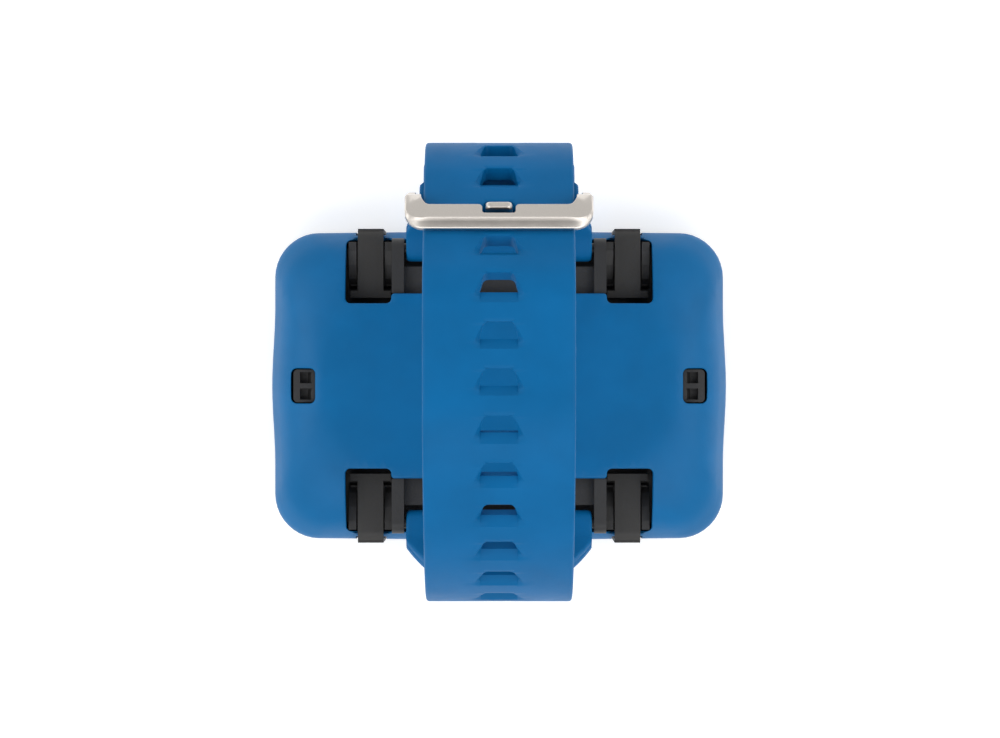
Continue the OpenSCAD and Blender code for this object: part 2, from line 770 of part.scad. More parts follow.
module buckle_tongue() {
    y = buckle_pin_at[0];
    z = buckle_pin_at[1];
    color(steel) difference() {
        union() {
            across(-tongue_w / 2, tongue_w / 2) polygon(band(tongue_places, tongue_t));
            rod(y, z, tongue_eye_r, -tongue_w / 2, tongue_w / 2);
        }
        rod(y, z, buckle_pin_r + fit, -tongue_w, tongue_w);
    }
}

// Closed loop around both strap layers, turned around the centre of the short strap's lower arc
module keeper() {
    centre = [short_y - short_r, short_z];
    layers = 2 * strap_t + strap_gap;
    wall = keeper_gap + keeper_t;
    place = [centre + (short_r + turn_fit / 2) * [cos(keeper_turn), sin(keeper_turn)], keeper_turn - 90];
    color(dark_blue) at_place(place) translate([0, keeper_l / 2, 0]) rotate([90, 0, 0]) difference() {
        linear_extrude(keeper_l)
            rounded(strap_w + 2 * wall, layers + 2 * wall, 1.5);
        translate([0, 0, -1]) linear_extrude(keeper_l + 2)
            rounded(strap_w + 2 * keeper_gap, layers + 2 * keeper_gap, 0.5);
    }
}

front_guard();
front_bezel();
display_window();
window_gasket();
button_plate();
housing_seal();
rear_housing();
rear_cover();
housing_screws();
inner_chassis();
display_module();
circuit_board();
battery_pad();
battery_cell();
pressure_sensor();
sensor_cap();
antenna_coil();
sounder();
data_contacts();
button_seals();
strap_bar();  // strap_bar_top
mirror([0, 1, 0]) strap_bar();  // strap_bar_bottom
bar_screws();
for (i = [-1:1]) {
    button(i);
    button_spring(i);
    button_clip(i);
}
guard_tab();  // tab_top_right
mirror([1, 0, 0]) guard_tab();  // tab_top_left
mirror([0, 1, 0]) guard_tab();  // tab_bottom_right
mirror([0, 1, 0]) mirror([1, 0, 0]) guard_tab();  // tab_bottom_left
strap_short();
strap_long();
buckle_pin();
keeper();
buckle_frame();
buckle_tongue();
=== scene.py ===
"""A wrist dive computer lying face down with its strap buckled above its back."""
import json
import math

import bmesh
import bpy
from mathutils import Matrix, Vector
from mathutils.geometry import delaunay_2d_cdt

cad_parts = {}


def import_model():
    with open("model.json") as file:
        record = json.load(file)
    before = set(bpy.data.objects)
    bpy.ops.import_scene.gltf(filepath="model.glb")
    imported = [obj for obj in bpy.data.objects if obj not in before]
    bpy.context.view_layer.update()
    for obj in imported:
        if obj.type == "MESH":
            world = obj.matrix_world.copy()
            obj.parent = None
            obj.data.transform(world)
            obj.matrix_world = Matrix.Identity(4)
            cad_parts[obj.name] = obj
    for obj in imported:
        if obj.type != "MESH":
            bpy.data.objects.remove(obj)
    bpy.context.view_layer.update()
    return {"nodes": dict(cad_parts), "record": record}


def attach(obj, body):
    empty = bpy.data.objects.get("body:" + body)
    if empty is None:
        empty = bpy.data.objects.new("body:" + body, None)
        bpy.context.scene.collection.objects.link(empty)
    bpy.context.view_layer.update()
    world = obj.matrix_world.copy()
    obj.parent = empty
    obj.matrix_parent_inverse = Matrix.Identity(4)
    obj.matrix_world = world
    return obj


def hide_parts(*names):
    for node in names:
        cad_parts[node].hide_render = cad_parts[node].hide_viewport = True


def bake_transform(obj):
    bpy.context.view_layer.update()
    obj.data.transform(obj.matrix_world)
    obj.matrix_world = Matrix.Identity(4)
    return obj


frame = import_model()
nodes = frame["nodes"]
MM = 0.001


# ---- Materials ----
def material(name, colour, roughness, metallic=0.0, specular=0.5):
    """A Principled material with its node tree and its shader."""
    mat = bpy.data.materials.new(name)
    mat.use_nodes = True
    tree = mat.node_tree
    shader = tree.nodes["Principled BSDF"]
    shader.inputs["Base Color"].default_value = (*colour, 1)
    shader.inputs["Roughness"].default_value = roughness
    shader.inputs["Metallic"].default_value = metallic
    shader.inputs["Specular IOR Level"].default_value = specular
    return mat, tree, shader


CLOUDS, SMUDGES, BLAST_GRAIN, SCRATCHES = 90, 300, 4500, 5000      # noise scales, in features per metre


def noise(tree, scale, detail=3.0, stretch=(1, 1, 1)):
    """Noise in object space, in features per metre."""
    coords = tree.nodes.new("ShaderNodeTexCoord")
    mapping = tree.nodes.new("ShaderNodeMapping")
    mapping.inputs["Scale"].default_value = stretch
    tex = tree.nodes.new("ShaderNodeTexNoise")
    tex.inputs["Scale"].default_value = scale
    tex.inputs["Detail"].default_value = detail
    tree.links.new(coords.outputs["Object"], mapping.inputs["Vector"])
    tree.links.new(mapping.outputs["Vector"], tex.inputs["Vector"])
    return tex.outputs["Fac"]


def vary_colour(tree, shader, fac, low, high):
    """The base colour runs from low to high with fac."""
    ramp = tree.nodes.new("ShaderNodeValToRGB")
    ramp.color_ramp.elements[0].position = 0.3
    ramp.color_ramp.elements[1].position = 0.7
    ramp.color_ramp.elements[0].color = (*low, 1)
    ramp.color_ramp.elements[1].color = (*high, 1)
    tree.links.new(fac, ramp.inputs["Fac"])
    tree.links.new(ramp.outputs["Color"], shader.inputs["Base Color"])


def vary_roughness(tree, shader, fac, low, high):
    """The roughness runs from low to high with fac."""
    remap = tree.nodes.new("ShaderNodeMapRange")
    remap.inputs["To Min"].default_value = low
    remap.inputs["To Max"].default_value = high
    tree.links.new(fac, remap.inputs["Value"])
    tree.links.new(remap.outputs["Result"], shader.inputs["Roughness"])


def bump(tree, shader, height, distance, strength=1.0):
    """Fine grain of a depth in metres."""
    node = tree.nodes.new("ShaderNodeBump")
    node.inputs["Strength"].default_value = strength
    node.inputs["Distance"].default_value = distance
    tree.links.new(height, node.inputs["Height"])
    tree.links.new(node.outputs["Normal"], shader.inputs["Normal"])


def moulded(name, colour, roughness, grain, depth, specular=0.5):
    """Moulded plastic or rubber: fine grain, faint clouds of colour and uneven gloss."""
    mat, tree, shader = material(name, colour, roughness, specular=specular)
    clouds = noise(tree, CLOUDS)
    vary_colour(tree, shader, clouds, [c * 0.93 for c in colour], [c * 1.07 for c in colour])
    vary_roughness(tree, shader, noise(tree, SMUDGES), roughness - 0.05, roughness + 0.06)
    bump(tree, shader, noise(tree, grain, 2.0), depth)
    return mat


def satin(name, colour, roughness):
    """Blasted metal with a fine even grain."""
    mat, tree, shader = material(name, colour, roughness, metallic=1.0)
    grain = noise(tree, BLAST_GRAIN)
    vary_colour(tree, shader, grain, [c * 0.93 for c in colour], colour)
    vary_roughness(tree, shader, noise(tree, 500), roughness - 0.04, roughness + 0.05)
    bump(tree, shader, grain, 0.012 * MM, 0.6)
    return mat


def brushed(name, colour, roughness, along):
    """Brushed metal whose scratches run along an axis."""
    mat, tree, shader = material(name, colour, roughness, metallic=1.0)
    scratches = noise(tree, SCRATCHES, 2.0, [0.02 if axis == along else 1 for axis in "XYZ"])
    vary_colour(tree, shader, scratches, [c * 0.82 for c in colour], colour)
    vary_roughness(tree, shader, scratches, roughness - 0.08, roughness + 0.1)
    bump(tree, shader, scratches, 0.03 * MM, 0.5)
    return mat


def window_material():
    """Hardened glass over a display that is off."""
    mat, tree, shader = material("window glass", (0.012, 0.014, 0.017), 0.06)
    shader.inputs["Coat Weight"].default_value = 1.0
    shader.inputs["Coat Roughness"].default_value = 0.03
    vary_roughness(tree, shader, noise(tree, 60), 0.05, 0.1)
    return mat


STRAP_BLUE = (0.0002, 0.112, 0.300)
COVER_BLUE = (0.0010, 0.125, 0.325)
paints = {
    "cover_plastic": moulded("cover blue", COVER_BLUE, 0.42, 2600, 0.012 * MM, 0.18),
    "strap_rubber": moulded("strap blue", STRAP_BLUE, 0.5, 2000, 0.015 * MM, 0.12),
    "keeper_rubber": moulded("keeper blue", STRAP_BLUE, 0.48, 2000, 0.015 * MM, 0.18),
    "guard_rubber": moulded("guard black", (0.033, 0.032, 0.031), 0.55, 2200, 0.02 * MM, 0.4),
    "housing_plastic": moulded("housing black", (0.020, 0.020, 0.021), 0.5, 1500, 0.03 * MM),
    "bezel_plastic": moulded("bezel black", (0.025, 0.025, 0.027), 0.38, 2600, 0.015 * MM),
    "bar_steel": moulded("bar black oxide", (0.022, 0.022, 0.023), 0.45, 3000, 0.01 * MM),
    "seal_rubber": moulded("seal black", (0.02, 0.02, 0.02), 0.6, 3000, 0.01 * MM),
    "display_panel": moulded("panel black", (0.008, 0.008, 0.01), 0.25, 4000, 0.002 * MM),
    "board": moulded("board green", (0.01, 0.09, 0.03), 0.4, 900, 0.02 * MM),
    "foam": moulded("foam grey", (0.12, 0.12, 0.13), 0.9, 1500, 0.1 * MM),
    "buckle_steel": satin("buckle steel", (0.64, 0.60, 0.555), 0.3),
    "button_steel": brushed("button steel", (0.55, 0.55, 0.56), 0.32, "X"),
    "fastener_steel": brushed("fastener steel", (0.5, 0.5, 0.5), 0.3, "Y"),
    "chassis_alloy": brushed("chassis alloy", (0.65, 0.65, 0.67), 0.4, "X"),
    "cell_foil": brushed("cell foil", (0.6, 0.6, 0.62), 0.35, "Y"),
    "copper": brushed("coil copper", (0.72, 0.35, 0.2), 0.3, "X"),
    "brass": brushed("contact gold", (0.83, 0.6, 0.25), 0.25, "Z"),
    "window_glass": window_material(),
}


def paint(obj, slot):
    """Gives a piece the one material of its slot."""
    obj.data.materials.clear()
    obj.data.materials.append(paints[slot])


for part in frame["record"]["subparts"]:
    paint(nodes[part["node"]], part["material_slot"])


# ---- Mesh helpers, in millimetres ----
def mesh_piece(name, verts, faces, slot, body=None, sharp=35):
    """A smooth-shaded piece whose edges over the sharp angle stay crisp."""
    mesh = bpy.data.meshes.new(name)
    mesh.from_pydata([Vector(v) * MM for v in verts], [], faces)
    bm = bmesh.new()
    bm.from_mesh(mesh)
    bmesh.ops.delete(bm, geom=[v for v in bm.verts if not v.link_faces], context="VERTS")
    bmesh.ops.remove_doubles(bm, verts=bm.verts, dist=0.003 * MM)
    bmesh.ops.dissolve_degenerate(bm, edges=bm.edges, dist=0.003 * MM)
    bmesh.ops.recalc_face_normals(bm, faces=bm.faces)
    bm.to_mesh(mesh)
    bm.free()
    mesh.shade_smooth()
    mesh.set_sharp_from_angle(angle=math.radians(sharp))
    piece = bpy.data.objects.new(name, mesh)
    bpy.context.collection.objects.link(piece)
    paint(piece, slot)
    if body:
        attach(piece, body)
    return piece


def bevel(piece, width):
    """Softens a piece's sharp edges over a width in millimetres."""
    mod = piece.modifiers.new("edges", "BEVEL")
    mod.width = width * MM
    mod.segments = 2
    mod.limit_method = "ANGLE"
    mod.angle_limit = math.radians(40)


def arc(cx, cy, r, a0, a1, n):
    """Points of an arc from angle a0 to a1, both ends included."""
    turns = [math.radians(a0 + (a1 - a0) * k / n) for k in range(n + 1)]
    return [(cx + r * math.cos(a), cy + r * math.sin(a)) for a in turns]


def rounded_outline(corners, n=6):
    """A closed outline through (x, y, radius) corners, each rounded by its own radius."""
    points = []
    for i, (x, y, r) in enumerate(corners):
        here = Vector((x, y))
        if r <= 0:
            points.append((x, y))
            continue
        before = (Vector(corners[i - 1][:2]) - here).normalized()
        after = (Vector(corners[(i + 1) % len(corners)][:2]) - here).normalized()
        half = before.angle(after) / 2
        centre = here + (before + after).normalized() * r / math.sin(half)
        first = here + before * r / math.tan(half) - centre
        last = here + after * r / math.tan(half) - centre
        a0 = math.atan2(first.y, first.x)
        sweep = (math.atan2(last.y, last.x) - a0 + math.pi) % (2 * math.pi) - math.pi
        points += arc(centre.x, centre.y, r, math.degrees(a0), math.degrees(a0 + sweep), n)
    return points


def smooth(t):
    """An even rise from 0 to 1 that starts and ends level."""
    t = min(max(t, 0), 1)
    return t * t * (3 - 2 * t)


def inside(point, outline):
    """Whether a point in plan lies inside a closed outline."""
    x, y = point
    found = False
    for (x0, y0), (x1, y1) in zip(outline, outline[1:] + outline[:1]):
        if (y0 > y) != (y1 > y) and x < x0 + (y - y0) / (y1 - y0) * (x1 - x0):
            found = not found
    return found


# ---- Rear cover: one smooth pillow with cut-outs whose edges are rounded over ----
CASE_L, CASE_W, CASE_R, CASE_H = 97.5, 66, 9.6, 26
RIM_Z, RIM_BEND_Z, WALL_TOP, COVER_T = 3.2, 6.2, 14.5, 1.8
RIM_INSET = 0.4
MAX_STEEP, MIN_SKIRT = 2.5, 6    # limits on the cover's upright thickness and on the inner skin's depth
WALL_STEPS = (14.4, 11.5, 8.5, RIM_BEND_Z, 4.2)
# How far the ends draw in and bulge, the bulge's half length, and where the swell begins and fades in
END_DRAW, END_BULGE, END_BULGE_Y, END_FROM, END_FADE = 0.3, 0.65, 17, 34, 12
SIDE_BULGE, SIDE_BULGE_X, SIDE_FROM, SIDE_FADE = 0.3, 38, 22, 8
# Height, how far the outline has drawn in from the length and from the width, and the added corner radius
LEVELS = [(14.5, 0, 0, 0), (18, 1.1, 1.3, 0.6), (21.6, 3.2, 4.2, 1.6), (24.4, 6.6, 9, 3.5), (26, 11, 14, 8)]
TOP_SLOPE = 1.7                  # how fast the outline draws in at the last level
POCKET_X, NOTCH_X = 32.8, 22.95
NOTCH_Y, POCKET_Y0, POCKET_Y1 = 17.6, 19.7, 31.2
POCKET_R, NOTCH_R = 1.1, 0.7
CATCH_X, CATCH_L, CATCH_W, CATCH_R = 41.6, 5.1, 7.5, 1.2
TAB_X, TAB_W, TAB_ROOM, TAB_GROOVE = 27.6, 5.5, 1, 0.7
TAB_LIP_Z, TAB_LIP_Y, TAB_LIP_SLOPE = 17.5, 31.56, 8
TAB_LIP_ENDS = (3.25, 3.38)      # from a tab's middle to the two ends of its lip's slope
EDGE_STEPS = [(0, 0.24), (0.05, 0.12), (0.13, 0.04), (0.26, 0)]      # how a cut-out's edge rounds over
WALL_INSETS = (0, 0.02, 0.07, 0.15, 0.28, 0.45, 0.65)                # loops close to the case's outline
RING_INSETS = (0.95, 1.3, 1.7, 1.9, 2.5, 3.2, 4, 5, 6.2, 7.6)        # rings of points inside them
OUTLINE_STEP, CUTOUT_STEP = 1.8, 1.5                                 # longest edges of the loops
GRID, GRID_INSET = 1.9, 8.4      # spacing of the points on the top, and how far in they start
CUTOUT_CLEAR, GROOVE_CLEAR, GROOVE_REACH = 0.4, 1.4, 1.5             # where no such point lies


def level_at(z):
    """The outline's insets and added radius at a height, on a smooth curve through the levels."""
    i = max(k for k in range(len(LEVELS) - 1) if LEVELS[k][0] <= z or k == 0)
    low, high = LEVELS[i], LEVELS[i + 1]
    span = high[0] - low[0]
    t = (z - low[0]) / span
    values = []
    for k in (1, 2, 3):
        slope0 = (high[k] - LEVELS[i - 1][k]) / (high[0] - LEVELS[i - 1][0]) * span if i else 0
        if i + 2 < len(LEVELS):
            slope1 = (LEVELS[i + 2][k] - low[k]) / (LEVELS[i + 2][0] - low[0]) * span
        else:
            slope1 = TOP_SLOPE * (high[k] - low[k])
        values.append(
            (2 * t**3 - 3 * t**2 + 1) * low[k] + (t**3 - 2 * t**2 + t) * slope0
            + (3 * t**2 - 2 * t**3) * high[k] + (t**3 - t**2) * slope1
        )
    return values


def beyond(x, y, z):
    """Distance of (x, y) outside the outline at height z, negative inside it."""
    dx, dy, dr = level_at(z)
    r = CASE_R + dr
    qx = abs(x) - (CASE_L / 2 - dx - r)
    qy = abs(y) - (CASE_W / 2 - dy - r)
    return math.hypot(max(qx, 0), max(qy, 0)) + min(max(qx, qy), 0) - r


def pillow_height(x, y):
    """Height of the pillow form above a point of the plan."""
    if beyond(x, y, CASE_H) <= 0:
        return CASE_H
    low, high = WALL_TOP, CASE_H
    for _ in range(22):
        middle = (low + high) / 2
        if beyond(x, y, middle) <= 0:
            low = middle
        else:
            high = middle
    return low


def lip_height(x, y):
    """The pillow's height, cut down where a guard tab folds over the pocket's outer lip."""
    z = pillow_height(x, y)
    past = abs(abs(x) - TAB_X) - (TAB_W + TAB_ROOM) / 2
    if abs(y) > POCKET_Y1 - 0.5 and past < 1:
        z = min(z, TAB_LIP_Z + TAB_LIP_SLOPE * max(past, 0))
    return z


def case_outline(inset, n=10):
    """The case in plan, with the four grooves that the guard tabs lie in."""
    x, y, r = CASE_L / 2 - inset, CASE_W / 2 - inset, CASE_R - inset
    half, base = (TAB_W + TAB_ROOM) / 2 + inset, y - TAB_GROOVE
    points = []
    for sx, sy, a0 in ((1, 1, 0), (-1, 1, 90), (-1, -1, 180), (1, -1, 270)):
        points += arc(sx * (x - r), sy * (y - r), r, a0, a0 + 90, n)
        if a0 in (90, 270):
            points += [(sx * x, sy * (y - r) * (4 - k) / 4) for k in range(1, 8)]
            continue
        for tab in (sx * TAB_X, -sx * TAB_X):
            points += [(tab + sx * half, sy * y), (tab + sx * half, sy * base)]
            points += [(tab - sx * half, sy * base), (tab - sx * half, sy * y)]
            if tab == sx * TAB_X:
                points += [(sx * TAB_X * (4 - k) / 5, sy * y) for k in range(1, 8)]
    return points


def pocket_outline(margin, side):
    """The cut-out around one strap end, with a notch for each guard tab."""
    hx, nx = POCKET_X + margin, NOTCH_X - margin
    y0, y1, y2 = NOTCH_Y - margin, POCKET_Y0 - margin, POCKET_Y1 + margin
    out, step = POCKET_R + margin, NOTCH_R - margin
    corners = [
        (-hx, y0, out), (-nx, y0, out), (-nx, y1, step), (nx, y1, step), (nx, y0, out), (hx, y0, out),
        (hx, y2, out), (-hx, y2, out),
    ]
    return [(x, side * y) for x, y in rounded_outline(corners)]


def catch_outline(margin, side):
    """The small window over one of the housing's catches."""
    hx, hy, r = CATCH_L / 2 + margin, CATCH_W / 2 + margin, CATCH_R
    corners = [(-hx, -hy, r), (hx, -hy, r), (hx, hy, r), (-hx, hy, r)]
    return [(side * CATCH_X + x, y) for x, y in rounded_outline(corners)]


CUTOUTS = [(make, side) for make in (pocket_outline, catch_outline) for side in (1, -1)]
KEEP_OUT = [make(CUTOUT_CLEAR, side) for make, side in CUTOUTS]


def split(outline, longest, like=None):
    """The same outline with its long edges cut into shorter ones, as many as in a like outline."""
    points = []
    like = like or outline
    for a, b, c, d in zip(outline, outline[1:] + outline[:1], like, like[1:] + like[:1]):
        n = max(1, math.ceil(math.dist(c, d) / longest))
        points += [(a[0] + (b[0] - a[0]) * k / n, a[1] + (b[1] - a[1]) * k / n) for k in range(n)]
    return points


def swell(x, y):
    """The slight bulge of the case's four sides."""
    end = END_BULGE * smooth(1 - abs(y) / END_BULGE_Y) - END_DRAW
    end *= smooth((abs(x) - END_FROM) / END_FADE)
    long_side = SIDE_BULGE * smooth((abs(y) - SIDE_FROM) / SIDE_FADE) * smooth(1.2 - abs(x) / SIDE_BULGE_X)
    return x + end * math.copysign(1, x), y + math.copysign(long_side, y)


def free(x, y):
    """Whether a point of the plan keeps clear of the cut-outs and of the guard tabs' grooves."""
    in_groove = abs(abs(x) - TAB_X) < TAB_W / 2 + GROOVE_CLEAR and abs(y) > CASE_W / 2 - GROOVE_REACH
    return not in_groove and not any(inside((x, y), outline) for outline in KEEP_OUT)


def cover_points():
    """The cover's points in plan, their heights, and the edges that its mesh has to keep."""
    coords, heights, edges = [], [], []

    def add_loop(outline, drop=0):
        first, n = len(coords), len(outline)
        coords.extend(outline)
        heights.extend(lip_height(x, y) - drop for x, y in outline)
        edges.extend((first + k, first + (k + 1) % n) for k in range(n))

    def add_points(points, height=lip_height):
        coords.extend(points)
        heights.extend(height(x, y) for x, y in points)

    for inset in WALL_INSETS:
        add_loop(split(case_outline(inset), OUTLINE_STEP, case_outline(0)))
    for make, side in CUTOUTS:
        for margin, drop in EDGE_STEPS:
            add_loop(split(make(margin, side), CUTOUT_STEP), drop)
    for inset in RING_INSETS:
        x, y, r = CASE_L / 2 - inset, CASE_W / 2 - inset, CASE_R - inset
        ring = rounded_outline([(x, y, r), (-x, y, r), (-x, -y, r), (x, -y, r)], 10)
        add_points([p for p in split(ring, 1.6 if inset < 2 else GRID) if free(*p)])
    grid = [((i + 0.5 * (j % 2)) * GRID, j * GRID) for i in range(-21, 22) for j in range(-13, 14)]
    add_points([p for p in grid if beyond(*p, WALL_TOP) < -GRID_INSET and free(*p)], pillow_height)
    add_points([
        (tab + sx * past, sy * TAB_LIP_Y)
        for tab in (TAB_X, -TAB_X) for past in TAB_LIP_ENDS for sx in (1, -1) for sy in (1, -1)
    ])
    return coords, heights, edges


def cover_plan():
    """The triangulated plan: its points, the height of the top at each, and its triangles."""
    coords, heights, edges = cover_points()
    points = [Vector(c) for c in coords]
    plan, _, triangles, sources, _, _ = delaunay_2d_cdt(points, edges, [], 0, 1e-5)
    tops = [heights[s[0]] if s else lip_height(*p) for p, s in zip(plan, sources)]
    outer = split(case_outline(0), OUTLINE_STEP)
    holes = [split(make(0, side), CUTOUT_STEP) for make, side in CUTOUTS]
    keep = []
    for tri in triangles:
        middle = sum((plan[k] for k in tri), Vector((0, 0))) / 3
        if inside(middle, outer) and not any(inside(middle, hole) for hole in holes):
            keep.append(tri)
    return plan, tops, keep


def inner_point(x, y):
    """The point of the inner skin, or of the rim near the wall, below a point of the top."""
    depth = -beyond(x, y, WALL_TOP)
    if depth <= COVER_T + 0.02:
        draw = 1 - RIM_INSET * max(1 - depth, 0) / math.hypot(x, y)
        return x * draw, y * draw, RIM_Z
    top = pillow_height(x, y)
    lean = (pillow_height(x * 0.99, y * 0.99) - top) / (0.01 * math.hypot(x, y) + 1e-6)
    steep = min(math.hypot(1, lean), MAX_STEEP)
    return x, y, max(top - COVER_T * steep, RIM_Z + MIN_SKIRT)


def rear_cover():
    """The cover's two skins, its outer walls and its cut-outs' edges as one closed mesh."""
    plan, tops, triangles = cover_plan()
    count = len(plan)
    verts = [(*swell(*point), top) for point, top in zip(plan, tops)]
    verts += [(*swell(x, y), z) for x, y, z in (inner_point(*point) for point in plan)]
    faces = [tuple(t) for t in triangles] + [tuple(count + k for k in reversed(t)) for t in triangles]
    sides = dict.fromkeys((a, b) for tri in triangles for a, b in zip(tri, tri[1:] + tri[:1]))
    columns = {}

    def column(k):
        """The points down the outer wall, from the top's edge to the rim."""
        if k not in columns:
            x, y = plan[k]
            columns[k] = [k]
            for z in WALL_STEPS:
                draw = 1 - RIM_INSET * max(RIM_BEND_Z - z, 0) / (RIM_BEND_Z - RIM_Z) / math.hypot(x, y)
                verts.append((*swell(x * draw, y * draw), min(z, tops[k])))
                columns[k].append(len(verts) - 1)
            columns[k].append(count + k)
        return columns[k]

    for a, b in sides:
        if (b, a) in sides:
            continue
        if all(abs(beyond(*plan[k], WALL_TOP)) < 0.8 for k in (a, b)):
            left, right = column(a), column(b)
            faces += [(left[i], left[i + 1], right[i + 1], right[i]) for i in range(len(left) - 1)]
        else:
            faces.append((a, count + a, count + b, b))
    cover = mesh_piece("rear_cover_shell", verts, faces, "cover_plastic", "root", sharp=38)
    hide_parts("rear_cover")


rear_cover()


# ---- Bands: straps, tongue and buckle are swept along routes in the YZ plane ----
def step_along(point, heading, leg, s):
    """The place a distance s along one leg, an arc (radius, turn) or a straight (length, 0)."""
    size, turn = leg
    h = math.radians(heading)
    if not turn:
        return point + s * Vector((math.cos(h), math.sin(h))), heading
    sign = math.copysign(1, turn)
    h2 = h + sign * s / size
    moved = point + size * sign * Vector((math.sin(h2) - math.sin(h), math.cos(h) - math.cos(h2)))
    return moved, math.degrees(h2)


def leg_length(leg):
    """The length of an arc or of a straight."""
    return leg[0] * abs(math.radians(leg[1])) if leg[1] else leg[0]


def travel(start, legs, s):
    """The place at distance s along a route, which goes straight on before its start and past its end."""
    if s < 0:
        return step_along(*start, (1, 0), s)
    place = start
    for leg in legs:
        if s <= leg_length(leg):
            return step_along(*place, leg, s)
        place = step_along(*place, leg, leg_length(leg))
        s -= leg_length(leg)
    return step_along(*place, (1, 0), s)


def route_length(legs):
    """The length of a whole route."""
    return sum(leg_length(leg) for leg in legs)


CUT = 3                          # index of the column that follows a hole's side
CUT_EDGE, MIN_FLARE = 0.12, 0.16 # how far the columns inside and outside the hole's side lie from it
HOLE_LIP = 0.12                  # how far a hole's rim lies below the face


def row(s, half, thick, **more):
    """One cross-section of a band: where it is, its half width and thickness, and what is cut in it.

    cut is the half width of a hole or ramp, dig the depth of a ramp's floor, side the depth of the face
    beside it and flare the width over which that face comes up again. lip is the depth of a hole's rim,
    open says that a hole goes through up to the next row, and end that it closes here. shift moves the
    row inwards, and groove is the depth of the line in its flanks.
    """
    plain = {"shift": 0, "cut": half * 0.25, "dig": 0, "lip": 0, "side": 0, "flare": MIN_FLARE}
    plain.update(end=False, open=False, groove=0)
    return {"s": s, "half": half, "thick": thick, **plain, **more}


def half_section(r, edge):
    """(distance from the middle, drop of the outer face, drop of the inner face) across half a band."""
    radius = min(edge, 0.45 * r["thick"])
    flat = r["half"] - radius
    cut, lip = r["cut"], r["lip"]
    middle = lip if r["end"] else r["dig"]
    inner = lip if r["end"] or r["open"] else 0
    far = cut + r["flare"]
    points = [(u, middle, inner) for u in (0, (cut - CUT_EDGE) / 2, cut - CUT_EDGE)]
    points += [(cut, max(r["side"], lip), inner), (far, 0, 0)]
    points += [(far + (flat - far) * k / 4, 0, 0) for k in range(1, 5)]
    for a in (30, 60, 90):
        drop = radius * (1 - math.cos(math.radians(a)))
        points.append((flat + radius * math.sin(math.radians(a)), drop, drop))
    return points


def band_mesh(start, legs, rows, out, edge):
    """Points and faces of a closed band. out is +1 where the route's left is the outer side, else -1."""
    verts, faces, grid = [], [], []

    def place(u, off, r):
        (y, z), heading = travel(start, legs, r["s"])
        h = math.radians(heading)
        off = (off - r["shift"]) * out
        verts.append((u, y - off * math.sin(h), z + off * math.cos(h)))
        return len(verts) - 1

    for r in rows:
        half = half_section(r, edge)
        t = r["thick"] / 2
        line = [(-u, a, b) for u, a, b in reversed(half[1:])] + half
        outer = [place(u, t - a, r) for u, a, b in line]
        inner = [place(u, b - t, r) for u, a, b in line]
        notch = min(0.25, t / 3)
        sides = [
            [place(sx * (r["half"] - g), off, r) for g, off in ((0, notch), (r["groove"], 0), (0, -notch))]
            for sx in (-1, 1)
        ]
        grid.append((outer, inner, sides))
    n = len(grid[0][0])
    middle = n // 2
    hole = range(middle - CUT, middle + CUT)
    for i in range(len(rows) - 1):
        (o0, i0, s0), (o1, i1, s1) = grid[i], grid[i + 1]
        for j in range(n - 1):
            if rows[i]["open"] and j in hole:
                continue
            faces.append((o0[j], o0[j + 1], o1[j + 1], o1[j]))
            faces.append((i0[j], i1[j], i1[j + 1], i0[j + 1]))
        for k, end in ((0, 0), (1, n - 1)):
            strip0, strip1 = [o0[end], *s0[k], i0[end]], [o1[end], *s1[k], i1[end]]
            faces += [(strip0[m], strip0[m + 1], strip1[m + 1], strip1[m]) for m in range(4)]
        if rows[i]["open"]:
            for j in (middle - CUT, middle + CUT):
                faces.append((o0[j], o1[j], i1[j], i0[j]))
            walls = []
            if not rows[i - 1]["open"]:
                walls.append((o0, i0))
            if i + 2 < len(rows) and not rows[i + 1]["open"]:
                walls.append((o1, i1))
            faces += [(o[j], o[j + 1], ii[j + 1], ii[j]) for o, ii in walls for j in hole]
    for index in (0, len(rows) - 1):
        outer, inner, sides = grid[index]
        slot = hole if index and rows[index - 1]["open"] else ()
        faces += [(outer[j], outer[j + 1], inner[j + 1], inner[j]) for j in range(n - 1) if j not in slot]
        for k, end in ((0, 0), (1, n - 1)):
            faces.append((outer[end], *sides[k], inner[end]))
    return verts, faces


def spread(a, b, pitch):
    """Evenly spaced distances from a up to but not including b."""
    n = max(1, round((b - a) / pitch))
    return [a + (b - a) * k / n for k in range(n)]


STRAP_W, HEAD_W, STRAP_T, STRAP_EDGE = 30, 39.6, 3.3, 0.65
BAR_Y, BAR_Z, KNUCKLE_R = 29.3, 22, 2.7
HEAD_CORNER_R = 1.3
HEAD_TOP, HEAD_TAPER = 8.2, 5    # height over the bar where a head begins to widen, and its taper's height
HEAD_LINE = 0.3                  # depth of the parting line in a head's flanks
KNUCKLE_L = 5                    # how far from the bar the strap is thicker
LAYER_GAP = 0.35
LAYER = STRAP_T + LAYER_GAP      # from one strap's middle to the other's where they lie together
WIDE_Y, WIDE_Z = 42.75, 44.9     # where the long strap stands upright
SHORT_Y, SHORT_Z = 44.7, 50.1    # the same for the short strap
SLOPE, KNEE_R, SHOULDER_R, TAIL_TURN = 40, 10, 20, 37
CROWN = [(29, -29), (44, -23), (56, -18), (28, -20)]
FIRST_HOLE, HOLE_PITCH, HOLES = 28.7, 9.1, 15
HOLE_NARROW, HOLE_WIDE, HOLE_L, HOLE_R = 5.9, 7.6, 3.4, 0.9
RAMP_L, RAMP_W, RAMP_DEPTH = 1.9, 11.4, 1.4
FLANK = 0.7                      # depth of a recess beside its ramp or hole, as a part of the ramp's
HOLE_ROWS = (0, 0.25, 0.5, 0.74, 0.84, 0.92, 0.97)                   # parts of a hole's length
TIP_R, TIP_THIN_L = 7, 0.9
